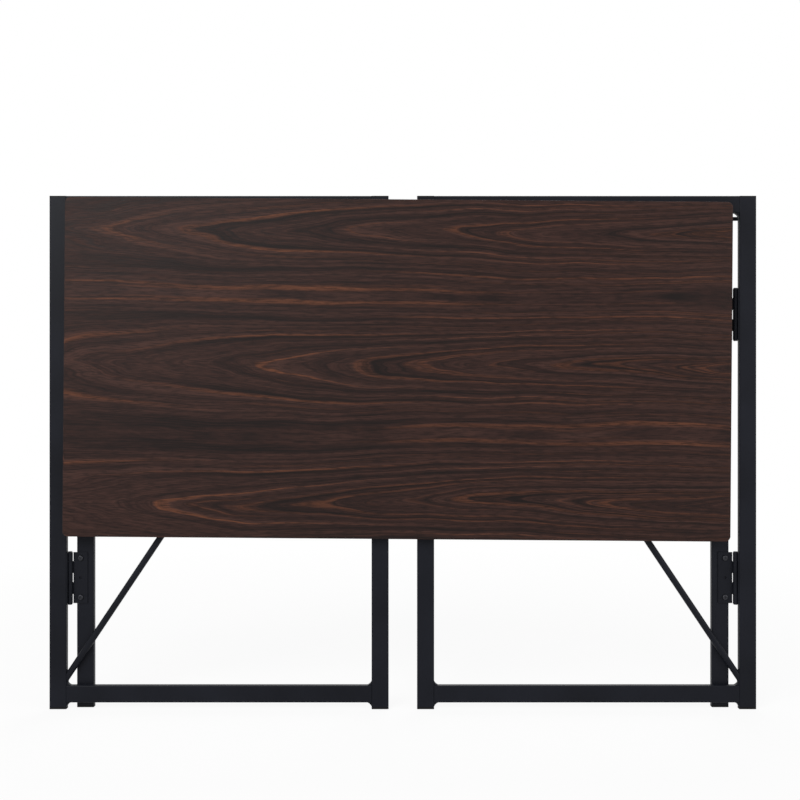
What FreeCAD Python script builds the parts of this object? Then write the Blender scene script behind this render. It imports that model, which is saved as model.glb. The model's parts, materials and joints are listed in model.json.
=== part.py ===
import FreeCAD, Part
import math
import os
import Sketcher
from FreeCAD import Placement, Rotation, Vector

# Folding desk, folded flat and standing on the floor.
# Two welded gates of flat tube are hinged on the posts of a slim back frame and lie closed in front of it.
# The lift-off top hangs on a peg of each gate, and in use it lies on the wire of each opened gate.
# Millimetres, X along the desk, the top's face towards -Y, Z up, origin on the floor in the middle.

SIZES = {
    "overall_width": 1040.0,
    "overall_height": 755.0,
    "overall_depth": 55.0,
    "gate_gap": 42.0,
    "tube_width": 25.0,
    "tube_depth": 10.0,
    "tube_wall": 1.2,
    "tube_corner": 1.5,
    "rail_lift": 9.5,
    "brace_diameter": 9.5,
    "brace_rise": 12.0,
    "frame_gap": 0.5,
    "post_inset": 37.5,
    "wire_clearance": 1.0,
    "top_play": 1.4,
    "top_breadth": 495.0,
    "top_thickness": 15.0,
    "top_corner": 8.0,
    "top_edge": 0.7,
    "band_thickness": 1.0,
    "top_drop": 8.0,
    "top_offset": 6.0,
    "top_gap": 1.0,
    "hang_tilt": 0.45,
    "wire_diameter": 6.0,
    "wire_bend": 8.0,
    "knuckle_radius": 3.8,
    "hinge_height": 75.4,
    "end_knuckle": 13.0,
    "knuckle_gap": 0.3,
    "leaf_thickness": 1.5,
    "leaf_reach": 25.0,
    "leaf_margin": 0.2,
    "pin_radius": 2.0,
    "pin_clearance": 0.05,
    "pin_head_radius": 3.0,
    "pin_head": 1.2,
    "hinge_drop": 174.0,
    "lower_hinge": 192.0,
    "screw_reach": 14.7,
    "screw_spacing": 58.0,
    "screw_radius": 2.0,
    "screw_length": 7.0,
    "screw_head_radius": 4.0,
    "screw_head": 2.2,
    "screw_head_round": 1.0,
    "screw_clearance": 0.2,
    "foot_thickness": 3.0,
    "cap_thickness": 1.5,
    "plug_depth": 12.0,
    "plug_clearance": 0.1,
    "peg_radius": 3.0,
    "peg_length": 8.0,
    "peg_drop": 65.0,
    "peg_flange_radius": 5.5,
    "peg_flange": 0.6,
    "socket_play": 0.8,
    "socket_end": 0.7,
    "rest_width": 25.0,
    "rest_overhang": 2.0,
    "rest_lip": 10.0,
    "rest_round": 1.0,
}

# Places worked out from the sizes above. The back plane is the front face of the back frame.
PLACES = {
    "half_width": "=overall_width / 2",
    "front_reach": "=top_thickness + top_gap + tube_depth + frame_gap",
    "back_plane": "=front_reach - overall_depth / 2",
    "gate_rear": "=back_plane - frame_gap",
    "gate_middle": "=gate_rear - tube_depth / 2",
    "gate_front": "=gate_rear - tube_depth",
    "top_back": "=gate_front - top_gap",
    "post_middle": "=back_plane + tube_depth / 2",
    "outer_leg_x": "=half_width - tube_width / 2",
    "inner_leg_x": "=gate_gap / 2 + tube_width / 2",
    "post_x": "=half_width - post_inset - tube_width / 2",
    "window_width": "=outer_leg_x - inner_leg_x - tube_width",
    "window_foot": "=rail_lift + tube_width",
    "window_height": "=overall_height - tube_width - window_foot",
    "wire_radius": "=wire_diameter / 2",
    "wire_z": "=overall_height - tube_width - wire_radius",
    "wire_y": "=overall_depth / 2 - wire_radius",
    "wire_run": "=outer_leg_x - inner_leg_x - 2 * wire_bend",
    "wire_reach": "=wire_y - gate_rear - wire_bend",
    "post_top": "=wire_z - wire_radius - wire_clearance",
    "hinge_x": "=half_width - tube_width - knuckle_radius",
    "hinge_y": "=back_plane - knuckle_radius",
    "upper_hinge": "=overall_height - hinge_drop",
    "post_knuckle": "=(hinge_height - 3 * end_knuckle - 4 * knuckle_gap) / 2",
    "knuckle_step": "=(end_knuckle + post_knuckle) / 2 + knuckle_gap",
    "barrel_clear": "=knuckle_radius + knuckle_gap",
    "strip_reach": "=hinge_y - gate_front - leaf_margin",
    "bore_radius": "=pin_radius + pin_clearance",
    "top_length": "=2 * (hinge_x - gate_rear + hinge_y - top_play)",
    "top_middle": "=overall_height - top_drop - top_breadth / 2",
    "peg_height": "=overall_height - peg_drop",
    "socket_radius": "=peg_radius + socket_play",
    "socket_depth": "=peg_length - top_gap + socket_end",
}

SIDES = {"left": -1, "right": 1}
HINGES = ("upper", "lower")

doc = FreeCAD.newDocument("folding_desk")
sheet = doc.addObject("Spreadsheet::Sheet", "Sizes")
readings = doc.addObject("Spreadsheet::Sheet", "Readings")


def fill_sheet():
    """Write the driving sizes as plain numbers and the places as formulas, each with its alias."""
    cells = [(alias, str(size)) for alias, size in SIZES.items()]
    cells += list(PLACES.items())
    for row, (alias, content) in enumerate(cells, start=1):
        sheet.set(f"A{row}", alias.replace("_", " "))
        sheet.set(f"B{row}", content)
        sheet.setAlias(f"B{row}", alias)
    doc.recompute()


def bound(words):
    """Turn a formula of aliases into one that other objects can read."""
    parts = words.replace("(", " ( ").replace(")", " ) ").split()
    return " ".join(f"Sizes.{part}" if part[0].isalpha() else part for part in parts)


def size(words):
    """The present value of a formula of aliases, read through a cell of its own."""
    readings.set("A1", f"={bound(words)}")
    readings.recompute()
    return float(readings.get("A1"))


def bind(thing, **formulas):
    for name, words in formulas.items():
        thing.setExpression(name, bound(words))


def move(thing, x="0", y="0", z="0"):
    """Place an object by formulas of the sheet, so that it follows them."""
    for axis, words in zip("xyz", (x, y, z)):
        thing.setExpression(f".Placement.Base.{axis}", bound(words))


def signed(side, words):
    """A formula on the side given: left is towards -X."""
    return f"{SIDES[side]} * ( {words} )"


def new_body(label):
    body = doc.addObject("PartDesign::Body", label)
    body.Label = label
    return body


def new_sketch(body, role):
    plane = next(item for item in body.Origin.OriginFeatures if item.Role == role)
    sketch = body.newObject("Sketcher::SketchObject", f"{body.Name}_sketch")
    sketch.AttachmentSupport = [(plane, "")]
    sketch.MapMode = "FlatFace"
    return sketch


def rectangle(sketch, across, along):
    """A rectangle centred on the sketch, its two sides bound to the sheet."""
    half_across = size(across) / 2
    half_along = size(along) / 2
    corners = [
        Vector(-half_across, -half_along, 0),
        Vector(half_across, -half_along, 0),
        Vector(half_across, half_along, 0),
        Vector(-half_across, half_along, 0),
    ]
    first = sketch.GeometryCount
    for number in range(4):
        sketch.addGeometry(Part.LineSegment(corners[number], corners[(number + 1) % 4]))
    for number in range(4):
        after = first + (number + 1) % 4
        sketch.addConstraint(Sketcher.Constraint("Coincident", first + number, 2, after, 1))
    for number in (0, 2):
        sketch.addConstraint(Sketcher.Constraint("Horizontal", first + number))
        sketch.addConstraint(Sketcher.Constraint("Vertical", first + number + 1))
    sketch.addConstraint(Sketcher.Constraint("Symmetric", first, 1, first + 1, 2, -1, 1))
    wide = sketch.addConstraint(Sketcher.Constraint("DistanceX", first, 1, first, 2, 2 * half_across))
    high = sketch.addConstraint(Sketcher.Constraint("DistanceY", first + 1, 1, first + 1, 2, 2 * half_along))
    sketch.setExpression(f"Constraints[{wide}]", bound(across))
    sketch.setExpression(f"Constraints[{high}]", bound(along))


def circle(sketch, x, y, radius):
    """A circle whose centre and radius are bound to the sheet."""
    centre = Vector(size(x), size(y), 0)
    index = sketch.addGeometry(Part.Circle(centre, Vector(0, 0, 1), size(radius)))
    for kind, words in (("DistanceX", x), ("DistanceY", y)):
        place = sketch.addConstraint(Sketcher.Constraint(kind, -1, 1, index, 3, size(words)))
        sketch.setExpression(f"Constraints[{place}]", bound(words))
    round_size = sketch.addConstraint(Sketcher.Constraint("Radius", index, size(radius)))
    sketch.setExpression(f"Constraints[{round_size}]", bound(radius))


def pad(body, sketch, length, reverse=False):
    feature = body.newObject("PartDesign::Pad", f"{body.Name}_pad")
    feature.Profile = sketch
    feature.Reversed = reverse
    bind(feature, Length=length)
    doc.recompute()
    return feature


def pocket(body, sketch, depth, reverse=False):
    before = body.Shape.Volume
    feature = body.newObject("PartDesign::Pocket", f"{body.Name}_pocket")
    feature.Profile = sketch
    feature.Reversed = reverse
    bind(feature, Length=depth)
    doc.recompute()
    if body.Shape.Volume >= before:
        raise RuntimeError(f"{body.Label}: the pocket cuts nothing")
    return feature


def round_edges(body, base, radius, wanted):
    """Round the edges of the base feature that the test picks out."""
    names = [f"Edge{number}" for number, edge in enumerate(base.Shape.Edges, start=1) if wanted(edge)]
    fillet = body.newObject("PartDesign::Fillet", f"{body.Name}_round")
    fillet.Base = (base, names)
    bind(fillet, Radius=radius)
    doc.recompute()
    return fillet


def outer_edge(axis, across, along):
    """A test for the four long outer edges of a tube that runs along the axis."""
    half = (size(across) / 2, size(along) / 2)

    def wanted(edge):
        middle = edge.CenterOfMass
        flat = [middle[number] for number in range(3) if number != axis]
        return all(math.isclose(abs(place), limit, abs_tol=1e-4) for place, limit in zip(flat, half))

    return wanted


def tube(label, role, length):
    """A hollow flat tube with round outer corners: upright on the XY plane, level on the YZ plane."""
    upright = role == "XY_Plane"
    across, along = ("tube_width", "tube_depth") if upright else ("tube_depth", "tube_width")
    body = new_body(label)
    sketch = new_sketch(body, role)
    rectangle(sketch, across, along)
    rectangle(sketch, f"{across} - 2 * tube_wall", f"{along} - 2 * tube_wall")
    base = pad(body, sketch, length)
    round_edges(body, base, "tube_corner", outer_edge(2 if upright else 0, across, along))
    return body


def plug(label, thickness, pointing):
    """A plastic plug for a tube end: a plate as large as the tube and a stub that fits inside it."""
    body = new_body(label)
    plate = new_sketch(body, "XY_Plane")
    rectangle(plate, "tube_width", "tube_depth")
    base = pad(body, plate, thickness, reverse=pointing > 0)
    base = round_edges(body, base, "tube_corner", outer_edge(2, "tube_width", "tube_depth"))
    stub = new_sketch(body, "XY_Plane")
    inside = "2 * tube_wall - 2 * plug_clearance"
    rectangle(stub, f"tube_width - {inside}", f"tube_depth - {inside}")
    pad(body, stub, "plug_depth", reverse=pointing < 0)
    return body


def standing_tube(name, x, y, top):
    """A leg or post with its foot below and its cap above."""
    leg = tube(name, "XY_Plane", f"{top} - foot_thickness - cap_thickness")
    move(leg, x, y, "foot_thickness")
    foot = plug(f"{name}_foot", "foot_thickness", 1)
    move(foot, x, y, "foot_thickness")
    cap = plug(f"{name}_cap", "cap_thickness", -1)
    move(cap, x, y, f"{top} - cap_thickness")
    return leg, [leg, foot, cap]


def box(length, width, height, x="0", y="0", z="0"):
    shape = doc.addObject("Part::Box", "block")
    bind(shape, Length=length, Width=width, Height=height)
    move(shape, x, y, z)
    return shape


def cylinder(radius, height, x="0", y="0", z="0", turn=None):
    shape = doc.addObject("Part::Cylinder", "round")
    if turn:
        shape.Placement = Placement(Vector(), turn)
    bind(shape, Radius=radius, Height=height)
    move(shape, x, y, z)
    return shape


def fuse(label, shapes):
    whole = doc.addObject("Part::MultiFuse", label)
    whole.Shapes = shapes
    whole.Refine = True
    whole.Label = label
    return whole


def cut(label, base, tools):
    tool = tools[0] if len(tools) == 1 else fuse(f"{label}_tools", tools)
    rest = doc.addObject("Part::Cut", label)
    rest.Base = base
    rest.Tool = tool
    rest.Label = label
    return rest


ALONG_X = Rotation(Vector(0, 1, 0), 90)
TO_FRONT = Rotation(Vector(1, 0, 0), 90)
TO_REAR = Rotation(Vector(1, 0, 0), -90)
HALF_TURN = Rotation(Vector(0, 1, 0), 180)


def brace(side):
    """A round bar across the gate's window, from its outer foot to its inner top, cut to both legs."""
    width, rise = size("window_width"), size("brace_rise")
    height = size("window_height") - 2 * rise
    turn = Rotation(Vector(0, 1, 0), math.degrees(math.atan2(width, height)))
    spare = (width + size("window_height") - math.hypot(width, height)) / 2
    bar = doc.addObject("Part::Cylinder", "bar")
    bar.Placement = Placement(Vector(0, 0, rise) + turn.multVec(Vector(0, 0, -spare)), turn)
    bind(bar, Radius="brace_diameter / 2", Height="window_width + window_height")
    window = box("window_width", "tube_depth", "window_height", y="-1 * tube_depth / 2")
    piece = doc.addObject("Part::Common", f"{side}_brace")
    piece.Base = bar
    piece.Tool = window
    piece.Label = f"{side}_brace"
    if side == "right":
        piece.Placement = Placement(Vector(), Rotation(Vector(0, 0, 1), 180))
    move(piece, signed(side, "outer_leg_x - tube_width / 2"), "gate_middle", "window_foot")
    return piece


def support_wire(side):
    """A bent wire behind the gate: out from one leg, along the gate and back to the other leg."""
    shapes = []
    for end in (-1, 1):
        x = f"{end} * ( wire_run / 2 + wire_bend )"
        shapes.append(cylinder("wire_radius", "wire_reach", x, turn=TO_REAR))
        bend = doc.addObject("Part::Torus", "bend")
        bend.Angle3 = 90
        bend.Placement = Placement(Vector(), Rotation(Vector(0, 0, 1), 0 if end > 0 else 90))
        bind(bend, Radius1="wire_bend", Radius2="wire_radius")
        move(bend, f"{end} * wire_run / 2", "wire_reach")
        shapes.append(bend)
    along = cylinder("wire_radius", "wire_run", "-1 * wire_run / 2", "wire_reach + wire_bend", turn=ALONG_X)
    shapes.append(along)
    wire = fuse(f"{side}_support_wire", shapes)
    move(wire, signed(side, "outer_leg_x + inner_leg_x") + " / 2", "gate_rear", "wire_z")
    return wire


def hanging_peg(side):
    """A peg with a thin flange, welded on the front of the gate's inner leg."""
    flange = cylinder("peg_flange_radius", "peg_flange", turn=TO_FRONT)
    shank = cylinder("peg_radius", "peg_length", turn=TO_FRONT)
    peg = fuse(f"{side}_hanging_peg", [flange, shank])
    move(peg, signed(side, "inner_leg_x"), "gate_front", "peg_height")
    return peg


def gate(side):
    """One welded gate: two legs, two rails, a brace, the wire that carries the top and the peg."""
    pieces = []
    for place in ("outer", "inner"):
        x = signed(side, f"{place}_leg_x")
        pieces += standing_tube(f"{side}_{place}_leg", x, "gate_middle", "overall_height")[1]
    start = signed(side, "outer_leg_x + inner_leg_x") + " / 2 - window_width / 2"
    heights = {"top": "overall_height - tube_width / 2", "bottom": "rail_lift + tube_width / 2"}
    for place, height in heights.items():
        rail = tube(f"{side}_{place}_rail", "YZ_Plane", "window_width")
        move(rail, start, "gate_middle", height)
        pieces.append(rail)
    return pieces + [brace(side), support_wire(side), hanging_peg(side)]


def post_hole_heights():
    return [f"{hinge}_hinge {sign} screw_spacing / 2 - foot_thickness" for hinge in HINGES for sign in "+-"]


def back_frame():
    """Two posts and the rail between their tops, with a rest for the middle of the top."""
    pieces = []
    for side, sign in SIDES.items():
        post, parts = standing_tube(f"{side}_post", signed(side, "post_x"), "post_middle", "post_top")
        holes = new_sketch(post, "XZ_Plane")
        across = f"{sign} * ( hinge_x - screw_reach - post_x )"
        for height in post_hole_heights():
            circle(holes, across, height, "screw_radius + plug_clearance")
        pocket(post, holes, "tube_depth / 2", reverse=True)
        pieces += parts
    rail = tube("back_rail", "YZ_Plane", "2 * post_x - tube_width")
    move(rail, "tube_width / 2 - post_x", "post_middle", "post_top - tube_width / 2")
    return pieces + [rail, centre_rest()]


def centre_rest():
    """A pad on the middle of the back rail, as high as the wires, with a lip behind the rail."""
    left = "-1 * rest_width / 2"
    pad_height = "wire_z + wire_radius - post_top"
    block = box("rest_width", "tube_depth + rest_overhang", pad_height, left, "back_plane", "post_top")
    rear = "back_plane + tube_depth"
    lip = box("rest_width", "rest_overhang", "rest_lip", left, rear, "post_top - rest_lip")
    whole = fuse("rest_block", [block, lip])
    doc.recompute()
    rest = doc.addObject("Part::Fillet", "centre_rest")
    rest.Base = whole
    top = size("wire_z + wire_radius")
    radius = size("rest_round")
    rest.Edges = [
        (number, radius, radius)
        for number, edge in enumerate(whole.Shape.Edges, start=1)
        if math.isclose(edge.BoundBox.ZMin, top, abs_tol=1e-4)
    ]
    rest.Label = "centre_rest"
    return rest


def knuckle_heights(own):
    """The knuckles of a leaf, each as its middle and its length: three on the gate, two on the post."""
    if own == "gate":
        return [(f"{step} * knuckle_step", "end_knuckle") for step in (-2, 0, 2)]
    return [(f"{step} * knuckle_step", "post_knuckle") for step in (-1, 1)]


def leaf(side, hinge, own):
    """A hinge leaf: a notched plate, the knuckles rolled on its edge and its screw holes."""
    label = f"{side}_{hinge}_{own}_leaf"
    foot = "-1 * hinge_height / 2"
    tools = [cylinder("bore_radius", "hinge_height", z=foot)]
    if own == "gate":
        strip = "strip_reach - barrel_clear"
        corner = ("-1 * knuckle_radius", "-1 * strip_reach", foot)
        shapes = [box("leaf_thickness", strip, "hinge_height", *corner)]
    else:
        plate_y = "knuckle_radius - leaf_thickness"
        plate = "leaf_reach - barrel_clear"
        shapes = [box(plate, "leaf_thickness", "hinge_height", "barrel_clear", plate_y, foot)]
        for step in (-1, 0, 1):
            height = f"{step} * screw_spacing / 2"
            hole = "screw_radius + screw_clearance"
            tools.append(cylinder(hole, "knuckle_radius", "screw_reach", "0", height, TO_REAR))
    for middle, length in knuckle_heights(own):
        base = f"{middle} - {length} / 2"
        shapes.append(cylinder("knuckle_radius", length, z=base))
        if own == "gate":
            corner = ("-1 * knuckle_radius", "-1 * barrel_clear", base)
            shapes.append(box("leaf_thickness", "barrel_clear", length, *corner))
        else:
            shapes.append(box("barrel_clear", "leaf_thickness", length, "0", plate_y, base))
    piece = cut(label, fuse(f"{label}_whole", shapes), tools)
    set_hinge(piece, side, hinge)
    return piece


def hinge_pin(side, hinge):
    """The pin through a hinge's knuckles, with a head at each end."""
    label = f"{side}_{hinge}_hinge_pin"
    half = "hinge_height / 2 + knuckle_gap"
    shapes = [cylinder("pin_radius", "hinge_height + 2 * knuckle_gap", z=f"-1 * ( {half} )")]
    shapes.append(cylinder("pin_head_radius", "pin_head", z=half))
    shapes.append(cylinder("pin_head_radius", "pin_head", z=f"-1 * ( {half} ) - pin_head"))
    pin = fuse(label, shapes)
    set_hinge(pin, side, hinge)
    return pin


def hinge_screws(side, hinge):
    """The two screws that hold a hinge on its post, as separate solids."""
    label = f"{side}_{hinge}_hinge_screws"
    face = "knuckle_radius - leaf_thickness"
    screws = []
    for step in (-1, 1):
        height = f"{step} * screw_spacing / 2"
        head = cylinder("screw_head_radius", "screw_head", "screw_reach", face, height, TO_FRONT)
        doc.recompute()
        radius = size("screw_head_round")
        front = size(f"{face} - screw_head")
        rounded = doc.addObject("Part::Fillet", "head")
        rounded.Base = head
        rounded.Edges = [
            (number, radius, radius)
            for number, edge in enumerate(head.Shape.Edges, start=1)
            if math.isclose(edge.BoundBox.YMax, front, abs_tol=1e-4)
        ]
        shank = cylinder("screw_radius", "screw_length", "screw_reach", face, height, TO_REAR)
        screws.append(fuse("screw", [rounded, shank]))
    group = doc.addObject("Part::Compound", label)
    group.Links = screws
    group.Label = label
    set_hinge(group, side, hinge)
    return group


def set_hinge(piece, side, hinge):
    """Place a hinge piece on its axis. A half turn makes the right-hand one, as both ends are alike."""
    if side == "right":
        piece.Placement = Placement(Vector(), HALF_TURN)
    move(piece, signed(side, "hinge_x"), "hinge_y", f"{hinge}_hinge")


def board(label, inset):
    """A flat board with round corners, its edge set in from the top's outline, its back on the XZ plane."""
    body = new_body(label)
    outline = new_sketch(body, "XZ_Plane")
    rectangle(outline, f"top_length - 2 * {inset}", f"top_breadth - 2 * {inset}")
    base = pad(body, outline, "top_thickness")
    corners = lambda edge: edge.BoundBox.YLength > size("top_thickness") / 2
    return body, round_edges(body, base, f"top_corner - {inset}", corners)


def edge_bands():
    """The thin bands glued round the board's edge, one on each side, the long ones turning the corners."""
    outline, base = board("top_outline", "0")
    round_edges(outline, base, "top_edge", lambda edge: edge.BoundBox.YLength < 1e-4)
    ring = cut("band_ring", outline, [board("band_space", "band_thickness")[0]])
    half, low, back = "-1 * top_length / 2", "-1 * top_breadth / 2", "-1 * top_thickness"
    long_way = ("top_length", "top_thickness", "top_corner", half, back)
    short_way = ("top_corner", "top_thickness", "top_breadth - 2 * top_corner")
    stretches = {
        "upper_edge_band": box(*long_way, "top_breadth / 2 - top_corner"),
        "lower_edge_band": box(*long_way, low),
        "left_edge_band": box(*short_way, half, back, f"{low} + top_corner"),
        "right_edge_band": box(*short_way, "top_length / 2 - top_corner", back, f"{low} + top_corner"),
    }
    bands = []
    for label, stretch in stretches.items():
        band = doc.addObject("Part::Common", label)
        band.Base = ring
        band.Tool = stretch
        band.Label = label
        bands.append(band)
    return bands


def desk_top():
    """The banded board, with a blind socket in its back for each peg, hung off centre and out of level."""
    body = board("desk_top", "band_thickness")[0]
    sockets = new_sketch(body, "XZ_Plane")
    height = "peg_height - top_middle"
    for sign in SIDES.values():
        circle(sockets, f"{sign} * inner_leg_x + top_offset", height, "socket_radius")
    pocket(body, sockets, "socket_depth", reverse=True)
    tilt = Rotation(Vector(0, 1, 0), size("hang_tilt"))
    held = Vector(size("top_offset"), 0, size(height))
    pegs = Vector(0, size("top_back"), size("peg_height"))
    pieces = [body] + edge_bands()
    for piece in pieces:
        piece.Placement = Placement(pegs - tilt.multVec(held), tilt)
    return pieces


def check(pieces):
    """Stop if any object failed to build or any piece is empty or broken."""
    failed = [item.Label for item in doc.Objects if "Invalid" in item.State or "Error" in item.State]
    failed += [piece.Label for piece in pieces if piece.Shape.isNull() or not piece.Shape.isValid()]
    failed += [piece.Label for piece in pieces if not piece.Shape.Solids]
    if failed:
        raise RuntimeError(f"not built: {failed}")


fill_sheet()
pieces = desk_top() + back_frame()
for side in SIDES:
    pieces += gate(side)
    for hinge in HINGES:
        pieces += [leaf(side, hinge, "gate"), leaf(side, hinge, "post")]
        pieces += [hinge_pin(side, hinge), hinge_screws(side, hinge)]
doc.recompute()
check(pieces)
os.makedirs("parts", exist_ok=True)
for piece in pieces:
    piece.Shape.exportStep(f"parts/{piece.Label}.step")
print(len(pieces), "pieces", sum(len(piece.Shape.Solids) for piece in pieces), "solids")
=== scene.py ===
"""Finishes and small fittings of a folding desk, folded flat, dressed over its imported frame."""

import itertools
import json
import math

import bpy
from bpy.props import FloatProperty, FloatVectorProperty, PointerProperty
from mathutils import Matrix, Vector


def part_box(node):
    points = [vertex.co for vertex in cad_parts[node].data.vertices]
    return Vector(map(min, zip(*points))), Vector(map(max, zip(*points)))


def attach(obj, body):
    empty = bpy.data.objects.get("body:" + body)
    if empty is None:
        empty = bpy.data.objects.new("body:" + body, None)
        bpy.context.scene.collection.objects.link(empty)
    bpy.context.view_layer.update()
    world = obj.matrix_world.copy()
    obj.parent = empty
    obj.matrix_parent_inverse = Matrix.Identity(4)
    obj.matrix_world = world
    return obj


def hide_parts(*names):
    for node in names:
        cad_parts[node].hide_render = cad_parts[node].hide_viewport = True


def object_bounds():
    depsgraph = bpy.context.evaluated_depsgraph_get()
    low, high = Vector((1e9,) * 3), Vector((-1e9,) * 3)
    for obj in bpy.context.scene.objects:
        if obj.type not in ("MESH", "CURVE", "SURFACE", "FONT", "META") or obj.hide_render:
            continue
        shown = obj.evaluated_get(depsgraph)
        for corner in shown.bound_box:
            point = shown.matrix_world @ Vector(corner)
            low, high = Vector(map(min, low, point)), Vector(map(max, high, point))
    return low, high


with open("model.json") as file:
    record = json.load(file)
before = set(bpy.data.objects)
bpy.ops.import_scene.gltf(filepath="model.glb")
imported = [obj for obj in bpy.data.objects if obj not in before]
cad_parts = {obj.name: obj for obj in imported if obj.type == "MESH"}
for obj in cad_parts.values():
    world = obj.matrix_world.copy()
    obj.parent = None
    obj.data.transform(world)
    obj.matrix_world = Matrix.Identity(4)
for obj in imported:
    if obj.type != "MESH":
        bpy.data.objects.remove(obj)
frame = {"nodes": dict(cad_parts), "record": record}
CAD_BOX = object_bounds()

bl_info = {
    "name": "Folding Desk Finish",
    "version": (1, 0, 0),
    "blender": (4, 5, 0),
    "location": "View3D > Sidebar > Desk",
    "description": "Wood-look top, satin coated tube, welds, screws and a plain stage for a folding desk",
    "category": "Object",
}


def middle_of(node):
    """Middle of a node's box."""
    low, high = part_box(node)
    return (low + high) / 2


SIDES = ("left", "right")
HINGES = ("upper", "lower")

# Planes of the gates and middle of the top, read from the frame
GATE_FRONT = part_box("left_outer_leg")[0].y
GATE_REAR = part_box("left_outer_leg")[1].y
TUBE_DEPTH = GATE_REAR - GATE_FRONT
TOP_MIDDLE = middle_of("desk_top")

# The top hangs askew by this angle, and its wood figure with it
HANG_TILT = math.radians(0.45)

# Rows of flames in the wood: their spacing, and the height of the middle row over the top's middle
FLAME_PITCH = 0.197
FLAME_HEIGHT = 0.006

# Rings from a row's heart to its flank, rings per metre along a heart and up the top, and the powers that
# shape heart and flank
FLAME_RINGS = 11.0
FLAME_TIPS = 13.0
RINGS_UPWARD = 9.0
HEART_POWER = 2.0
FLANK_POWER = 0.75

# Noise that lets the rows wander, makes their tips ragged and draws the pores, per metre along X, Y and Z
SWAY_SCALE = (1.7, 1.0, 5.0)
RAGGED_SCALE = (6.0, 1.0, 26.0)
RAGGED_REACH = 0.16
PORE_SCALE = (60.0, 300.0, 520.0)

# Layers of the wood figure: noise per ring and per metre of length, its starting place and its detail
FIGURE_NOISE = {"ring_scale": 1.0, "length_scale": 1.1, "start": 8.0, "detail": 4.0}
STREAK_NOISE = {"ring_scale": 1.6, "length_scale": 1.2, "start": 33.8, "detail": 2.0}
FINE_NOISE = {"ring_scale": 9.0, "length_scale": 13.0, "start": 50.0, "detail": 3.0}
RING_NOISE_ROUGHNESS = 0.6

# Parts of a noise's range that are spread over the full range of what it drives
NOISE_SPAN = (0.3, 0.7)
CLOUD_SPAN = (0.35, 0.65)
SPECK_SPAN = (0.62, 0.75)
FIGURE_SPAN = (0.26, 0.76)
STREAK_SPAN = (0.57, 0.72)
PORE_SPAN = (0.46, 0.64)

# Strength of the wood's layers, and the tones at which its three colours are pure
FINE_STRENGTH = 1.15
PORE_STRENGTH = 0.6
STREAK_ON_DARK = 0.1
STREAK_ON_LIGHT = 0.9
DARK_TONE = 0.08
MIDDLE_TONE = 0.45
LIGHT_TONE = 0.92

# Fineness of each skin's orange peel and the strength of its bump
COAT_PEEL = (900.0, 0.10)
HINGE_PEEL = (1300.0, 0.12)
PLASTIC_PEEL = (1500.0, 0.22)
STEEL_PEEL = (1800.0, 0.08)
PEEL_HEIGHT = 0.0002
STEEL_MARK_HEIGHT = 0.0001
GRAIN_STRENGTH = 0.14
GRAIN_HEIGHT = 0.00025

# Clouds and specks in the skins, and how far they shade the colour
CLOUD_SCALE = 9.0
SPECK_SCALE = 2600.0
SPECK_STRENGTH = 0.25
SPECK_SHADE = 2.2
COAT_SHADES = (0.82, 1.22)
STEEL_SHADES = (0.7, 1.1)
HINGE_SHADE = 0.9

# How far the roughness of wood and skins falls and rises, and the steel's range
WOOD_ROUGHNESS_CHANGE = (-0.06, 0.08)
COAT_ROUGHNESS_CHANGE = (-0.05, 0.07)
STEEL_ROUGHNESS = (0.28, 0.46)

# Mesh work
MERGE_DISTANCE = 1e-6
SMOOTH_ANGLE = math.radians(40)
CUTTER_MARGIN = 1e-4

# Fillet welds: share of the radius to the toes that the hollow takes, and share of the leg that is eased
HOLLOW_SHARE = 0.985
WELD_EASE = 0.05
HOLLOW_SIDES = 128

# Weld beads: faces round the bar and round the bead, unevenness in beads, rounds to find a brace's lean
RING_FACES = 40
BEAD_FACES = 14
BEAD_RIPPLE = 0.35
LEAN_ROUNDS = 8

# Hinge screws: leaf under their heads, shares of the head's height, degrees from one cross to the next
LEAF_THICKNESS = 0.0015
HEAD_FACE = 0.1
HEAD_ROUNDING = 0.5
SHANK_OVERLAP = 0.2
SHANK_SIDES = 32
SCREW_TURN = 37

# Stage
PICTURE_PIXELS = 800
WHITE = (1, 1, 1, 1)
FLOOR_SIZE = 30
FLOOR_GAP = 0.0005
FLOOR_ROUGHNESS = 0.9
FLOOR_FADE = (0.6, 1.8)
LAMPS = {
    "key": {"place": (-1.3, -2.2, 1.9), "size": 1.6},
    "fill": {"place": (2.4, -1.8, 1.4), "size": 1.6},
    "rear": {"place": (0.6, 2.4, 2.2), "size": 1.8},
}


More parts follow.
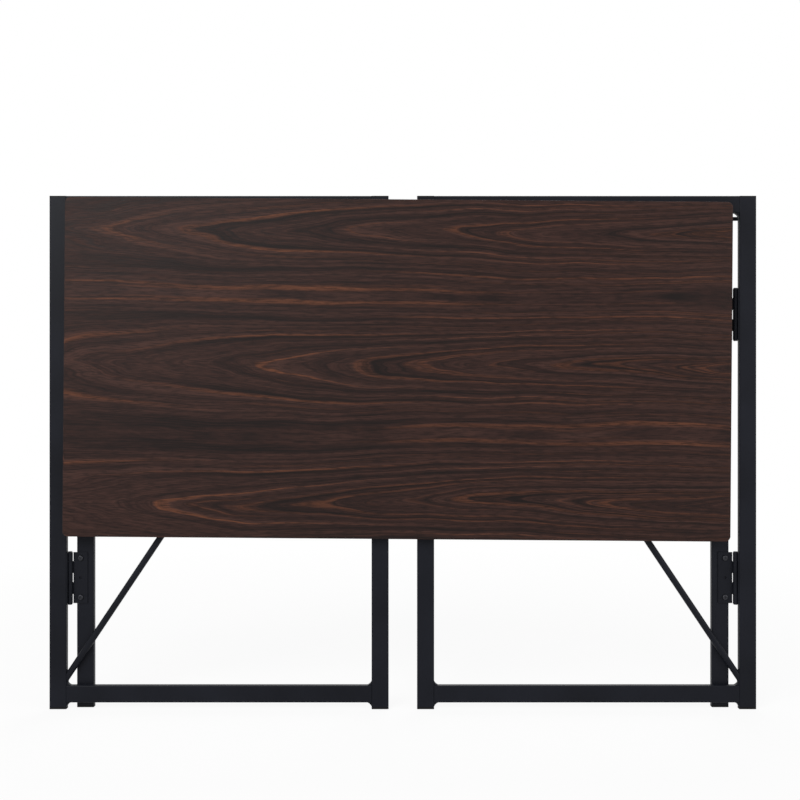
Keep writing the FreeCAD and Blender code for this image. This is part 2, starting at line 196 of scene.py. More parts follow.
class DeskFinish(bpy.types.PropertyGroup):
    """Colours and gloss of the desk's surfaces."""

    wood_dark: FloatVectorProperty(
        name="Dark grain", description="Darkest lines of the top's wood figure", subtype="COLOR",
        size=4, default=(0.0065, 0.0034, 0.0030, 1.0), min=0, max=1)
    wood_middle: FloatVectorProperty(
        name="Wood", description="Main colour of the top", subtype="COLOR",
        size=4, default=(0.0225, 0.0096, 0.0076, 1.0), min=0, max=1)
    wood_light: FloatVectorProperty(
        name="Light grain", description="Palest red-brown wood of the top", subtype="COLOR",
        size=4, default=(0.047, 0.0210, 0.0160, 1.0), min=0, max=1)
    wood_streak: FloatVectorProperty(
        name="Streak", description="Orange streaks between the rings of the top", subtype="COLOR",
        size=4, default=(0.120, 0.0420, 0.0200, 1.0), min=0, max=1)
    wood_roughness: FloatProperty(
        name="Wood roughness", description="Roughness of the top's laminate", subtype="FACTOR",
        default=0.46, min=0, max=1)
    wood_shine: FloatProperty(
        name="Wood shine", description="Specular level of the top's laminate", subtype="FACTOR",
        default=0.14, min=0, max=1)
    wood_sway: FloatProperty(
        name="Wood sway", description="How far the rows of flames wander on the top", unit="LENGTH",
        default=0.060, min=0, max=0.2)
    band_sway: FloatProperty(
        name="Band sway", description="How far the figure wanders on the edge bands", unit="LENGTH",
        default=0.012, min=0, max=0.2)
    coat_colour: FloatVectorProperty(
        name="Coat", description="Colour of the powder coat on the tubes", subtype="COLOR",
        size=4, default=(0.0074, 0.0082, 0.0120, 1.0), min=0, max=1)
    coat_roughness: FloatProperty(
        name="Coat roughness", description="Roughness of the powder coat on the tubes", subtype="FACTOR",
        default=0.42, min=0, max=1)
    hinge_roughness: FloatProperty(
        name="Hinge roughness", description="Roughness of the hinges' coat", subtype="FACTOR",
        default=0.5, min=0, max=1)
    plastic_colour: FloatVectorProperty(
        name="Plastic", description="Colour of the feet, caps and rest", subtype="COLOR",
        size=4, default=(0.006, 0.006, 0.0065, 1.0), min=0, max=1)
    plastic_roughness: FloatProperty(
        name="Plastic roughness", description="Roughness of the feet, caps and rest", subtype="FACTOR",
        default=0.62, min=0, max=1)
    skin_shine: FloatProperty(
        name="Skin shine", description="Specular level of the coats and the plastic", subtype="FACTOR",
        default=0.10, min=0, max=1)
    steel_colour: FloatVectorProperty(
        name="Steel", description="Colour of the blackened screws and hinge pins", subtype="COLOR",
        size=4, default=(0.045, 0.046, 0.052, 1.0), min=0, max=1)


class DeskFittings(bpy.types.PropertyGroup):
    """Sizes of the welds and screws."""

    weld_leg: FloatProperty(
        name="Weld leg", description="Side of the fillet weld in a corner of the frame",
        unit="LENGTH", default=0.0058, min=0.001, max=0.01)
    weld_hollow: FloatProperty(
        name="Weld hollow", description="Centre of a weld's hollow face, in weld legs from the corner",
        subtype="FACTOR", default=1.7, min=1, max=4)
    weld_edge: FloatProperty(
        name="Weld margin", description="Bare tube left beside a weld", unit="LENGTH",
        default=0.0015, min=0, max=0.004)
    collar_bead: FloatProperty(
        name="Collar bead", description="Thickness of the weld bead round a wire end", unit="LENGTH",
        default=0.0012, min=0.0005, max=0.005)
    brace_bead: FloatProperty(
        name="Brace bead", description="Thickness of the weld bead round a brace end", unit="LENGTH",
        default=0.0034, min=0.001, max=0.006)
    recess_width: FloatProperty(
        name="Recess width", description="Width of a screw's cross recess", unit="LENGTH",
        default=0.0009, min=0.0003, max=0.002)
    recess_reach: FloatProperty(
        name="Recess reach", description="Length of a screw's cross recess", unit="LENGTH",
        default=0.0046, min=0.001, max=0.007)
    recess_depth: FloatProperty(
        name="Recess depth", description="Depth of a screw's cross recess", unit="LENGTH",
        default=0.0013, min=0.0005, max=0.002)


class DeskStage(bpy.types.PropertyGroup):
    """Camera, floor and lamps."""

    camera_distance: FloatProperty(
        name="Camera distance", description="Camera to the front of the gates", unit="LENGTH",
        default=1.6, min=0.5, max=10)
    pixels_per_metre: FloatProperty(
        name="Pixels per metre", description="Scale of the picture at the front of the gates",
        default=680.0, min=100, max=2000)
    desk_column: FloatProperty(
        name="Desk column", description="Pixel column of the desk's middle", subtype="PIXEL",
        default=402.85, min=0, max=PICTURE_PIXELS)
    floor_row: FloatProperty(
        name="Floor row", description="Pixel row of the floor under the gates", subtype="PIXEL",
        default=707.5, min=0, max=PICTURE_PIXELS)
    top_row: FloatProperty(
        name="Top row", description="Pixel row of the gates' top edge", subtype="PIXEL",
        default=197.5, min=0, max=PICTURE_PIXELS)
    floor_colour: FloatVectorProperty(
        name="Floor", description="Colour of the floor", subtype="COLOR", size=4,
        default=(0.92, 0.92, 0.92, 1.0), min=0, max=1)
    floor_glow: FloatProperty(
        name="Floor glow", description="How far the floor under the desk fades to white", subtype="FACTOR",
        default=0.90, min=0, max=1)
    surround: FloatProperty(
        name="Surround", description="Light from all round", subtype="FACTOR", default=0.36, min=0, max=2)
    key_power: FloatProperty(
        name="Key lamp", description="Power of the large front lamp", unit="POWER",
        default=54.0, min=0, max=500)
    fill_power: FloatProperty(
        name="Fill lamp", description="Power of the side lamp", unit="POWER", default=27.0, min=0, max=500)
    rear_power: FloatProperty(
        name="Rear lamp", description="Power of the lamp behind the desk", unit="POWER",
        default=27.0, min=0, max=500)


class Wiring:
    """Adds nodes to a tree and joins their sockets."""

    def __init__(self, tree):
        self.tree = tree

    def add(self, kind, inputs=None, **settings):
        """A new node with its settings, and with its inputs joined or set."""
        node = self.tree.nodes.new(kind)
        for name, setting in settings.items():
            setattr(node, name, setting)
        for name, source in (inputs or {}).items():
            self.feed(source, node.inputs[name])
        return node

    def feed(self, source, socket):
        """Join a socket to another, or set it to a constant."""
        if isinstance(source, bpy.types.NodeSocket):
            self.tree.links.new(source, socket)
        else:
            socket.default_value = source

    def calculate(self, operation, first, second=0.0, clamp=False):
        sockets = {0: first, 1: second}
        return self.add("ShaderNodeMath", sockets, operation=operation, use_clamp=clamp).outputs[0]

    def plus(self, first, second, clamp=False):
        return self.calculate("ADD", first, second, clamp)

    def minus(self, first, second):
        return self.calculate("SUBTRACT", first, second)

    def times(self, first, second):
        return self.calculate("MULTIPLY", first, second)

    def ramp(self, value, stops):
        """A smooth change of colour along a value, as (place, colour) stops."""
        node = self.add("ShaderNodeValToRGB", {"Fac": value})
        elements = node.color_ramp.elements
        while len(elements) < len(stops):
            elements.new(0.5)
        for element, (place, colour) in zip(elements, stops):
            element.position = place
            element.color = colour
        return node.outputs["Color"]

    def spread(self, value, low, high, start=0.0, stop=1.0):
        """A value from start to stop, spread from low to high and held there outside them."""
        node = self.add("ShaderNodeMapRange", {
            "Value": value, "From Min": start, "From Max": stop, "To Min": low, "To Max": high})
        return node.outputs["Result"]

    def blend(self, factor, first, second):
        """One colour over another, by a factor."""
        mix = self.add("ShaderNodeMix", {"Factor": factor}, data_type="RGBA")
        sockets = [socket for socket in mix.inputs if socket.type == "RGBA"]
        self.feed(first, sockets[0])
        self.feed(second, sockets[1])
        return next(socket for socket in mix.outputs if socket.type == "RGBA")

    def group(self, name, inputs):
        """The outputs of a shared group, placed with its own values."""
        return self.add("ShaderNodeGroup", inputs, node_tree=bpy.data.node_groups[name]).outputs


def new_group(name, inputs, outputs):
    """A shader group with named numbers in and out: its wiring, what it is given and what it makes."""
    group = bpy.data.node_groups.new(name, "ShaderNodeTree")
    for title, default in inputs.items():
        socket = group.interface.new_socket(title, in_out="INPUT", socket_type="NodeSocketFloat")
        socket.default_value = default
    for title in outputs:
        group.interface.new_socket(title, in_out="OUTPUT", socket_type="NodeSocketFloat")
    wiring = Wiring(group)
    return wiring, wiring.add("NodeGroupInput").outputs, wiring.add("NodeGroupOutput").inputs


def fine_coat_group():
    """Orange peel, faint clouding and specks of a sprayed or moulded surface."""
    inputs = {"Peel Scale": COAT_PEEL[0]}
    wiring, given, made = new_group("fine coat", inputs, ("Peel", "Cloud", "Speck"))
    place = wiring.add("ShaderNodeTexCoord").outputs["Object"]

    def noise(scale, detail):
        sockets = {"Vector": place, "Scale": scale, "Detail": detail}
        return wiring.add("ShaderNodeTexNoise", sockets).outputs["Fac"]

    speck = noise(SPECK_SCALE, detail=1.0)
    wiring.feed(noise(given["Peel Scale"], detail=2.0), made["Peel"])
    wiring.feed(noise(CLOUD_SCALE, detail=3.0), made["Cloud"])
    wiring.feed(wiring.spread(speck, 0.0, 1.0, *SPECK_SPAN), made["Speck"])


def wood_figure_group():
    """Wood figure along the top: rows of long flames that open to the right, with streaks and pores."""
    inputs = {"Flame Rings": FLAME_RINGS, "Flame Tips": FLAME_TIPS, "Sway": 0.0}
    wiring, given, made = new_group("wood figure", inputs, ("Figure", "Streak", "Fine", "Pore"))
    place = wiring.add("ShaderNodeTexCoord").outputs["Object"]
    hung = {"Vector": place, "Location": TOP_MIDDLE, "Rotation": (0, HANG_TILT, 0)}
    board = wiring.add("ShaderNodeMapping", hung, vector_type="TEXTURE").outputs[0]
    axes = wiring.add("ShaderNodeSeparateXYZ", {"Vector": board}).outputs

    def stretched(scale, detail):
        """Noise about zero, with a fineness of its own along each axis."""
        spot = wiring.add("ShaderNodeMapping", {"Vector": board, "Scale": scale}).outputs[0]
        sockets = {"Vector": spot, "Scale": 1.0, "Detail": detail}
        return wiring.minus(wiring.add("ShaderNodeTexNoise", sockets).outputs["Fac"], 0.5)

    def along(ring, ring_scale, length_scale, start, detail):
        """Noise that follows the rings and changes slowly along the top."""
        across = wiring.plus(wiring.times(ring, ring_scale), start)
        length = wiring.times(axes["X"], length_scale)
        spot = wiring.add("ShaderNodeCombineXYZ", {"X": across, "Y": length}).outputs[0]
        sockets = {"Vector": spot, "Scale": 1.0, "Detail": detail, "Roughness": RING_NOISE_ROUGHNESS}
        return wiring.add("ShaderNodeTexNoise", sockets, noise_dimensions="2D").outputs["Fac"]

    sway = wiring.times(stretched(SWAY_SCALE, detail=3.0), given["Sway"])
    ragged = wiring.times(stretched(RAGGED_SCALE, detail=3.0), RAGGED_REACH)
    height = wiring.plus(wiring.minus(axes["Z"], FLAME_HEIGHT), sway)
    length = wiring.plus(axes["X"], ragged)

    # The wave is 1 in the heart of a row and -1 between two rows
    wave = wiring.calculate("COSINE", wiring.times(height, 2 * math.pi / FLAME_PITCH))
    heart = wiring.calculate("POWER", wiring.times(wiring.plus(wave, 1.0), 0.5), HEART_POWER)
    flank = wiring.calculate("POWER", wiring.times(wiring.minus(1.0, wave), 0.5), FLANK_POWER)
    flames = wiring.times(wiring.times(length, heart), given["Flame Tips"])
    rings = wiring.minus(wiring.times(flank, given["Flame Rings"]), flames)
    rings = wiring.plus(rings, wiring.times(axes["Z"], RINGS_UPWARD))

    figure = along(rings, **FIGURE_NOISE)
    streak = along(rings, **STREAK_NOISE)
    pore = wiring.plus(stretched(PORE_SCALE, detail=4.0), 0.5)
    wiring.feed(wiring.spread(figure, 0.0, 1.0, *FIGURE_SPAN), made["Figure"])
    wiring.feed(wiring.spread(streak, 0.0, 1.0, *STREAK_SPAN), made["Streak"])
    wiring.feed(along(rings, **FINE_NOISE), made["Fine"])
    wiring.feed(wiring.spread(pore, 0.0, 1.0, *PORE_SPAN), made["Pore"])


def new_material(name):
    """A material with its wiring and its shader."""
    material = bpy.data.materials.new(name)
    material.use_nodes = True
    return material, Wiring(material.node_tree), material.node_tree.nodes["Principled BSDF"]


def roughened(wiring, shader, noise, low, high):
    """Let a noise drive the roughness."""
    wiring.feed(wiring.spread(noise, low, high, *NOISE_SPAN), shader.inputs["Roughness"])


def bumped(wiring, shader, height, strength, distance):
    """Let a height drive the surface's bump."""
    bump = wiring.add("ShaderNodeBump", {"Height": height, "Strength": strength, "Distance": distance})
    wiring.feed(bump.outputs["Normal"], shader.inputs["Normal"])


def shaded(colour, factor):
    """A darker or lighter shade of a colour."""
    return tuple(part * factor for part in colour[:3]) + (1.0,)


def wood_material(name, finish, sway):
    """Dark red-brown wood look with long figure, orange streaks and dark pores."""
    material, wiring, shader = new_material(name)
    wood = wiring.group("wood figure", {"Sway": sway})
    fine = wiring.times(wiring.minus(wood["Fine"], 0.5), FINE_STRENGTH)
    tone = wiring.plus(wood["Figure"], fine, clamp=True)
    stops = (
        (DARK_TONE, finish.wood_dark[:]),
        (MIDDLE_TONE, finish.wood_middle[:]),
        (LIGHT_TONE, finish.wood_light[:]),
    )
    glow = wiring.times(wood["Streak"], wiring.spread(tone, STREAK_ON_DARK, STREAK_ON_LIGHT))
    pores = wiring.times(wood["Pore"], PORE_STRENGTH)
    colour = wiring.blend(glow, wiring.ramp(tone, stops), finish.wood_streak[:])
    colour = wiring.blend(pores, colour, finish.wood_dark[:])
    wiring.feed(colour, shader.inputs["Base Color"])
    shader.inputs["Specular IOR Level"].default_value = finish.wood_shine
    smooth, rough = (finish.wood_roughness + change for change in WOOD_ROUGHNESS_CHANGE)
    roughened(wiring, shader, wood["Fine"], smooth, rough)
    bumped(wiring, shader, wiring.minus(wood["Fine"], wood["Pore"]), GRAIN_STRENGTH, GRAIN_HEIGHT)
    return material


def coated_material(name, colour, roughness, shine, peel):
    """A sprayed or moulded surface with fine orange peel, faint clouding and specks."""
    material, wiring, shader = new_material(name)
    fineness, strength = peel
    coat = wiring.group("fine coat", {"Peel Scale": fineness})
    clouded = wiring.spread(coat["Cloud"], 0.0, 1.0, *CLOUD_SPAN)
    base = wiring.blend(clouded, *(shaded(colour, shade) for shade in COAT_SHADES))
    specks = wiring.times(coat["Speck"], SPECK_STRENGTH)
    specked = wiring.blend(specks, base, shaded(colour, SPECK_SHADE))
    wiring.feed(specked, shader.inputs["Base Color"])
    shader.inputs["Specular IOR Level"].default_value = shine
    smooth, rough = (roughness + change for change in COAT_ROUGHNESS_CHANGE)
    roughened(wiring, shader, coat["Cloud"], smooth, rough)
    bumped(wiring, shader, coat["Peel"], strength, PEEL_HEIGHT)
    return material


def steel_material(name, colour):
    """Darkened steel with fine turning marks."""
    material, wiring, shader = new_material(name)
    fineness, strength = STEEL_PEEL
    coat = wiring.group("fine coat", {"Peel Scale": fineness})
    base = wiring.blend(coat["Cloud"], *(shaded(colour, shade) for shade in STEEL_SHADES))
    wiring.feed(base, shader.inputs["Base Color"])
    shader.inputs["Metallic"].default_value = 1.0
    roughened(wiring, shader, coat["Peel"], *STEEL_ROUGHNESS)
    bumped(wiring, shader, coat["Peel"], strength, STEEL_MARK_HEIGHT)
    return material


def dress(node, material):
    """Give a CAD node a finish, in every slot that it has."""
    piece = frame["nodes"][node]
    if not piece.material_slots:
        piece.data.materials.append(material)
    for slot in piece.material_slots:
        slot.material = material


def deselect():
    """Leave edit mode and select nothing."""
    if bpy.context.object and bpy.context.object.mode != "OBJECT":
        bpy.ops.object.mode_set(mode="OBJECT")
    bpy.ops.object.select_all(action="DESELECT")


def activate(piece):
    """Select one piece alone."""
    deselect()
    piece.select_set(True)
    bpy.context.view_layer.objects.active = piece


def settle(piece, name, material, body):
    """Put a piece's place into its mesh, name it, finish it and let it ride on its body."""
    activate(piece)
    bpy.ops.object.transform_apply(location=True, rotation=True, scale=True)
    bpy.ops.object.mode_set(mode="EDIT")
    bpy.ops.mesh.select_all(action="SELECT")
    bpy.ops.mesh.remove_doubles(threshold=MERGE_DISTANCE)
    bpy.ops.mesh.normals_make_consistent(inside=False)
    bpy.ops.object.mode_set(mode="OBJECT")
    bpy.ops.object.shade_smooth_by_angle(angle=SMOOTH_ANGLE)
    piece.name = name
    piece.data.name = name
    piece.data.materials.clear()
    piece.data.materials.append(material)
    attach(piece, body)
    return piece


def joined(pieces):
    """Several pieces made one object."""
    deselect()
    for piece in pieces:
        piece.select_set(True)
    bpy.context.view_layer.objects.active = pieces[0]
    bpy.ops.object.join()
    return bpy.context.object


def carved(piece, cutter, operation="DIFFERENCE"):
    """Cut a piece with another, or add the other to it, and remove the tool."""
    activate(piece)
    boolean = piece.modifiers.new("cut", "BOOLEAN")
    boolean.operation = operation
    boolean.solver = "EXACT"
    boolean.object = cutter
    bpy.ops.object.modifier_apply(modifier=boolean.name)
    bpy.data.objects.remove(cutter)
    return piece


def copied(piece, place, turn):
    """A copy of a piece with a mesh of its own, turned about Y by some degrees and put in its place."""
    activate(piece)
    bpy.ops.object.duplicate(linked=False)
    copy = bpy.context.object
    copy.rotation_euler = (0, math.radians(turn), 0)
    copy.location = place
    bpy.ops.object.transform_apply(location=True, rotation=True, scale=False)
    return copy


def add_block(size, place):
    """A box, with its size in its mesh."""
    deselect()
    bpy.ops.mesh.primitive_cube_add(size=1, location=place)
    block = bpy.context.object
    block.scale = size
    bpy.ops.object.transform_apply(location=False, rotation=False, scale=True)
    return block


def add_round(radius, depth, place, sides=48):
    """A cylinder along Y, with its turn in its mesh."""
    deselect()
    bpy.ops.mesh.primitive_cylinder_add(
        vertices=sides, radius=radius, depth=depth, location=place, rotation=(math.pi / 2, 0, 0))
    bpy.ops.object.transform_apply(location=False, rotation=True, scale=False)
    return bpy.context.object


def fillet_weld(fittings):
    """A hollow fillet for a corner that opens towards +X and +Z, with its outer edges eased."""
    leg = fittings.weld_leg
    depth = TUBE_DEPTH - 2 * fittings.weld_edge
    weld = add_block((leg, depth, leg), (leg / 2, 0, leg / 2))
    bpy.ops.object.transform_apply(location=True, rotation=False, scale=False)
    centre = leg * fittings.weld_hollow
    radius = math.hypot(centre - leg, centre) * HOLLOW_SHARE
    weld = carved(weld, add_round(radius, depth * 2, (centre, 0, centre), HOLLOW_SIDES))
    bevel = weld.modifiers.new("ease", "BEVEL")
    bevel.width = leg * WELD_EASE
    bevel.segments = 2
    bpy.ops.object.modifier_apply(modifier=bevel.name)
    return weld


def quarter_turn(right, up):
    """Degrees about Y that point a fillet to the side and height given."""
    return {(1, 1): 0, (1, -1): 90, (-1, -1): 180, (-1, 1): -90}[(right, up)]


def gate_corners(side):
    """Corners of a gate that hold a weld, as place and the way that each opens."""
    legs = [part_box(f"{side}_{place}_leg") for place in ("outer", "inner")]
    legs.sort(key=lambda box: box[0].x)
    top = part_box(f"{side}_top_rail")[0].z
    bottom_low, bottom_high = (corner.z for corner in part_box(f"{side}_bottom_rail"))
    corners = []
    for x, right in ((legs[0][1].x, 1), (legs[1][0].x, -1)):
        corners += [(x, top, right, -1), (x, bottom_high, right, 1), (x, bottom_low, right, -1)]
    return corners


def rail_corners():
    """Corners under the back rail, where it meets the posts."""
    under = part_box("back_rail")[0].z
    return [(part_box("left_post")[1].x, under, 1, -1), (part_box("right_post")[0].x, under, -1, -1)]


def weld_corners(source, corners, y, name, body):
    """Copies of a fillet in some corners, as one piece."""
    welds = [copied(source, (x, y, z), quarter_turn(right, up)) for x, z, right, up in corners]
    settle(joined(welds), name, bpy.data.materials["satin coat"], body)


def weld_ring(radius, bead, place, turn, squeeze=1.0, stretch=1.0):
    """An uneven ring of weld round a bar's end, kept within the leg and lengthened where the bar leans."""
    deselect()
    bpy.ops.mesh.primitive_torus_add(
        major_radius=radius, minor_radius=bead / 2, major_segments=RING_FACES, minor_segments=BEAD_FACES,
        rotation=turn)
    ring = bpy.context.object
    bpy.ops.object.transform_apply(location=False, rotation=True, scale=False)
    ring.scale = (1, squeeze, stretch)
    ring.location = place
    bpy.ops.object.transform_apply(location=True, rotation=False, scale=True)
    displace = ring.modifiers.new("ripple", "DISPLACE")
    displace.texture = bpy.data.textures["bead ripple"]
    displace.strength = bead * BEAD_RIPPLE
    bpy.ops.object.modifier_apply(modifier=displace.name)
    return ring


def settle_beads(rings, side, name):
    """Weld beads of a gate, as one piece."""
    settle(joined(rings), name, bpy.data.materials["satin coat"], f"{side}_gate")


def wire_welds(side, fittings):
    """A bead round each end of a wire, on the backs of the legs."""
    low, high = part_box(f"{side}_support_wire")
    radius = (high.z - low.z) / 2
    places = [(x, GATE_REAR, low.z + radius) for x in (low.x + radius, high.x - radius)]
    turn = (math.pi / 2, 0, 0)
    rings = [weld_ring(radius, fittings.collar_bead, place, turn) for place in places]
    settle_beads(rings, side, f"{side}_wire_welds")


def brace_ends(side):
    """The brace's radius, the stretch of its slanted ends and the middle of each end, on the legs' faces."""
    low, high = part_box(f"{side}_brace")
    radius = (high.y - low.y) / 2
    width = high.x - low.x
    lean = math.atan2(width, high.z - low.z)
    for _ in range(LEAN_ROUNDS):
        lean = math.atan2(width, high.z - low.z - 2 * radius / math.sin(lean))
    rise = radius / math.sin(lean)
    middle = (low.y + high.y) / 2
    lower_x, upper_x = (low.x, high.x) if side == "left" else (high.x, low.x)
    ends = ((lower_x, middle, low.z + rise), (upper_x, middle, high.z - rise))
    return radius, rise / radius, ends


def brace_welds(side, fittings):
    """A bead round each end of a brace, squeezed to stay within the tube's depth."""
    radius, stretch, ends = brace_ends(side)
    turn = (0, math.pi / 2, 0)
    bead = fittings.brace_bead
    squeeze = (TUBE_DEPTH / 2 - fittings.weld_edge / 2) / (radius + bead * (0.5 + BEAD_RIPPLE))
    rings = [weld_ring(radius, bead, end, turn, squeeze, stretch) for end in ends]
    settle_beads(rings, side, f"{side}_brace_welds")


def pan_screw(front, seat, tip, radius, fittings):
    """A pan-head screw along Y with a cross recess in its head."""
    head = seat - front
    screw = add_round(radius, head, (0, front + head / 2, 0))
    bpy.ops.object.transform_apply(location=True, rotation=False, scale=False)
    bpy.ops.object.mode_set(mode="EDIT")
    bpy.ops.mesh.select_all(action="DESELECT")
    bpy.ops.object.mode_set(mode="OBJECT")
    face = front + head * HEAD_FACE
    for edge in screw.data.edges:
        edge.select = all(screw.data.vertices[end].co.y < face for end in edge.vertices)
    bpy.ops.object.mode_set(mode="EDIT")
    bpy.ops.mesh.bevel(offset=head * HEAD_ROUNDING, segments=4, affect="EDGES")
    bpy.ops.object.mode_set(mode="OBJECT")
    recess_middle = (0, front + fittings.recess_depth / 2 - CUTTER_MARGIN, 0)
    deep = fittings.recess_depth + 2 * CUTTER_MARGIN
    carved(screw, add_block((fittings.recess_reach, deep, fittings.recess_width), recess_middle))
    carved(screw, add_block((fittings.recess_width, deep, fittings.recess_reach), recess_middle))
    root = seat - head * SHANK_OVERLAP
    shank = add_round(radius / 2, tip - root, (0, (root + tip) / 2, 0), SHANK_SIDES)
    return carved(screw, shank, "UNION")


def screw_pair(side, hinge, turns, fittings):
    """The two screws of a hinge, in place of its plain ones."""
    node = f"{side}_{hinge}_hinge_screws"
    low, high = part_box(node)
    radius = (high.x - low.x) / 2
    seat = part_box(f"{side}_{hinge}_post_leaf")[1].y - LEAF_THICKNESS
    screw = pan_screw(low.y, seat, high.y, radius, fittings)
    heights = (low.z + radius, high.z - radius)
    pair = [copied(screw, (low.x + radius, 0, z), next(turns)) for z in heights]
    bpy.data.objects.remove(screw)
    steel = bpy.data.materials["darkened steel"]
    piece = settle(joined(pair), f"{node}_cross", steel, "back_frame")
    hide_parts(node)


def seen_or_mirrored(wiring):
    """1 where the surroundings are looked at, straight, through glass or in a glossy surface, else 0."""
    rays = wiring.add("ShaderNodeLightPath").outputs
    seen = wiring.calculate("MAXIMUM", rays["Is Camera Ray"], rays["Is Transmission Ray"])
    return wiring.calculate("MAXIMUM", seen, rays["Is Glossy Ray"])


def lay_floor(stage):
    """A pale floor that keeps the desk's shadow and fades to white away from it."""
    deselect()
    bpy.ops.mesh.primitive_plane_add(size=FLOOR_SIZE, location=(0, 0, -FLOOR_GAP))
    floor = bpy.context.object
    floor.name = "floor"
    material, wiring, shader = new_material("pale floor")
    shader.inputs["Base Color"].default_value = stage.floor_colour
    shader.inputs["Roughness"].default_value = FLOOR_ROUGHNESS
    shader.inputs["Specular IOR Level"].default_value = 0.0
    glow = wiring.add("ShaderNodeEmission", {"Color": WHITE, "Strength": 1.0})
    place = wiring.add("ShaderNodeTexCoord").outputs["Object"]
    away = wiring.add("ShaderNodeVectorMath", {0: place}, operation="LENGTH").outputs["Value"]
    fade = wiring.spread(away, stage.floor_glow, 1.0, *FLOOR_FADE)
    share = wiring.times(seen_or_mirrored(wiring), fade)
    mix = wiring.add("ShaderNodeMixShader", {0: share, 1: shader.outputs[0], 2: glow.outputs[0]})
    wiring.feed(mix.outputs[0], material.node_tree.nodes["Material Output"].inputs["Surface"])
    floor.data.materials.append(material)


def light_surround(stage):
    """White surroundings to look at, and a dimmer light from them."""
    world = bpy.data.worlds.new("surround")
    bpy.context.scene.world = world
    world.use_nodes = True
    wiring = Wiring(world.node_tree)
    back = world.node_tree.nodes["Background"]
    back.inputs["Color"].default_value = WHITE
    strength = wiring.spread(seen_or_mirrored(wiring), stage.surround, 1.0)
    wiring.feed(strength, back.inputs["Strength"])


def hang_lamps(stage):
    """Large soft lamps, turned to the top's height."""
    aim = Vector((0, 0, TOP_MIDDLE.z))
    for name, setting in LAMPS.items():
        lamp = bpy.data.lights.new(name, "AREA")
        lamp.size = setting["size"]
        lamp.energy = getattr(stage, f"{name}_power")
        holder = bpy.data.objects.new(name, lamp)
        holder.location = setting["place"]
        holder.rotation_euler = (aim - holder.location).to_track_quat("-Z", "Y").to_euler()
        bpy.context.scene.collection.objects.link(holder)


def place_camera(stage):
    """A level camera straight in front, framed by the rows and the column of the desk in the picture."""
    scale = stage.pixels_per_metre
    half = PICTURE_PIXELS / 2
    middle_row = (stage.floor_row + stage.top_row) / 2
    across = (half - stage.desk_column) / scale
    up = CAD_BOX[1].z / 2 + (middle_row - half) / scale
    lens = bpy.data.cameras.new("camera")
    lens.lens = lens.sensor_width * stage.camera_distance * scale / PICTURE_PIXELS
    camera = bpy.data.objects.new("camera", lens)
    camera.location = (across, GATE_FRONT - stage.camera_distance, up)
    camera.rotation_euler = (math.pi / 2, 0, 0)
    bpy.context.scene.collection.objects.link(camera)
    bpy.context.scene.camera = camera


class DESK_OT_finishes(bpy.types.Operator):
    """Make the finishes and give them to the frame, the top and the hinges"""

    bl_idname = "desk.finishes"
    bl_label = "Finish the Desk"

    def execute(self, context):
        finish = context.scene.desk_finish
        shine = finish.skin_shine
        hinge_colour = shaded(finish.coat_colour, HINGE_SHADE)
        fine_coat_group()
        wood_figure_group()
        wood = wood_material("walnut laminate", finish, finish.wood_sway)
        band = wood_material("walnut edge band", finish, finish.band_sway)
        coat = coated_material("satin coat", finish.coat_colour, finish.coat_roughness, shine, COAT_PEEL)
        hinge = coated_material("hinge coat", hinge_colour, finish.hinge_roughness, shine, HINGE_PEEL)
        plastic = coated_material(
            "moulded plastic", finish.plastic_colour, finish.plastic_roughness, shine, PLASTIC_PEEL)
        steel = steel_material("darkened steel", finish.steel_colour)
        by_slot = {
            "walnut_laminate": wood, "walnut_band": band, "black_tube": coat, "black_hinge": hinge,
            "black_plastic": plastic, "pin_steel": steel, "screw_steel": steel,
        }
        for row in frame["record"]["subparts"]:
            dress(row["node"], by_slot[row["material_slot"]])
        return {"FINISHED"}


class DESK_OT_corner_welds(bpy.types.Operator):
    """Lay a fillet weld in each corner of the gates and under the back rail"""

    bl_idname = "desk.corner_welds"
    bl_label = "Corner Welds"

    def execute(self, context):
        weld = fillet_weld(context.scene.desk_fittings)
        for side in SIDES:
            middle = middle_of(f"{side}_outer_leg").y
            weld_corners(weld, gate_corners(side), middle, f"{side}_gate_welds", f"{side}_gate")
        weld_corners(weld, rail_corners(), middle_of("back_rail").y, "back_rail_welds", "back_frame")
        bpy.data.objects.remove(weld)
        return {"FINISHED"}


class DESK_OT_ring_welds(bpy.types.Operator):
    """Lay an uneven weld bead round each end of the wires and the braces, on the legs"""

    bl_idname = "desk.ring_welds"
    bl_label = "Wire and Brace Welds"

    def execute(self, context):
        fittings = context.scene.desk_fittings
        ripple = bpy.data.textures.new("bead ripple", "CLOUDS")
        ripple.noise_scale = fittings.brace_bead
        for side in SIDES:
            wire_welds(side, fittings)
            brace_welds(side, fittings)
        return {"FINISHED"}


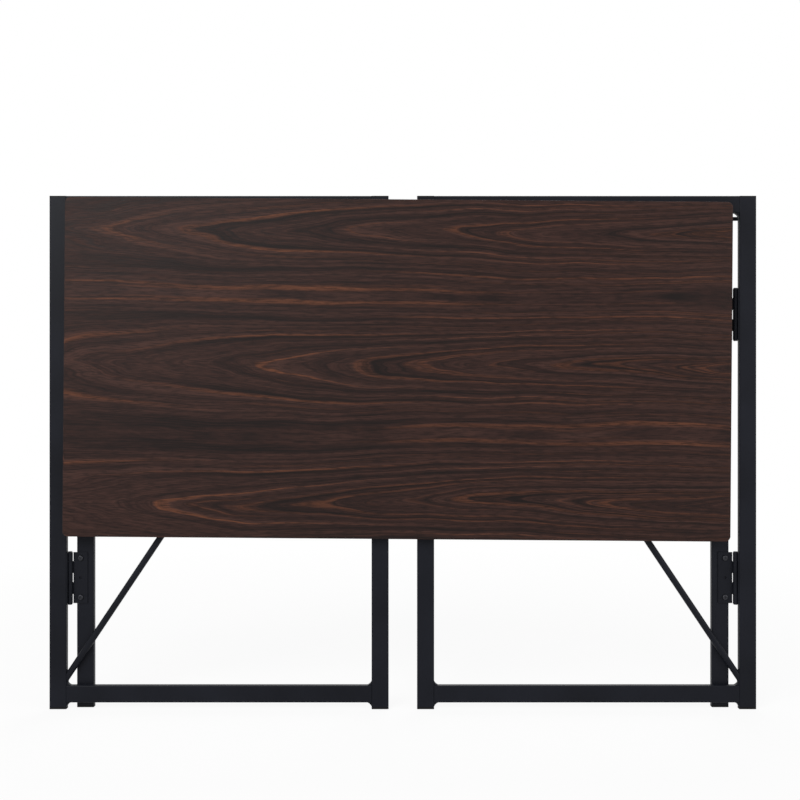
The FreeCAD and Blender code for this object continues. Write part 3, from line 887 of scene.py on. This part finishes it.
class DESK_OT_screws(bpy.types.Operator):
    """Replace the plain hinge screws with pan-head ones that have a cross recess"""

    bl_idname = "desk.screws"
    bl_label = "Hinge Screws"

    def execute(self, context):
        turns = itertools.count(SCREW_TURN, SCREW_TURN)
        for side in SIDES:
            for hinge in HINGES:
                screw_pair(side, hinge, turns, context.scene.desk_fittings)
        return {"FINISHED"}


class DESK_OT_stage(bpy.types.Operator):
    """Set the camera, the pale floor, the surround and the lamps"""

    bl_idname = "desk.stage"
    bl_label = "Stage"

    def execute(self, context):
        stage = context.scene.desk_stage
        lay_floor(stage)
        light_surround(stage)
        hang_lamps(stage)
        place_camera(stage)
        context.scene.view_settings.view_transform = "Standard"
        return {"FINISHED"}


OPERATORS = (DESK_OT_finishes, DESK_OT_corner_welds, DESK_OT_ring_welds, DESK_OT_screws, DESK_OT_stage)


class DESK_PT_sidebar(bpy.types.Panel):
    """Lists the steps that dress the desk, and their settings"""

    bl_idname = "DESK_PT_sidebar"
    bl_label = "Folding Desk"
    bl_space_type = "VIEW_3D"
    bl_region_type = "UI"
    bl_category = "Desk"

    def draw(self, context):
        for operator in OPERATORS:
            self.layout.operator(operator.bl_idname)
        for group in ("desk_finish", "desk_fittings", "desk_stage"):
            settings = getattr(context.scene, group)
            for name in settings.__annotations__:
                self.layout.prop(settings, name)


CLASSES = (DeskFinish, DeskFittings, DeskStage) + OPERATORS + (DESK_PT_sidebar,)


def register():
    for item in CLASSES:
        bpy.utils.register_class(item)
    bpy.types.Scene.desk_finish = PointerProperty(type=DeskFinish)
    bpy.types.Scene.desk_fittings = PointerProperty(type=DeskFittings)
    bpy.types.Scene.desk_stage = PointerProperty(type=DeskStage)


def unregister():
    del bpy.types.Scene.desk_stage
    del bpy.types.Scene.desk_fittings
    del bpy.types.Scene.desk_finish
    for item in reversed(CLASSES):
        bpy.utils.unregister_class(item)


def main():
    register()
    bpy.ops.desk.finishes()
    bpy.ops.desk.corner_welds()
    bpy.ops.desk.ring_welds()
    bpy.ops.desk.screws()
    bpy.ops.desk.stage()


if __name__ == "__main__":
    main()
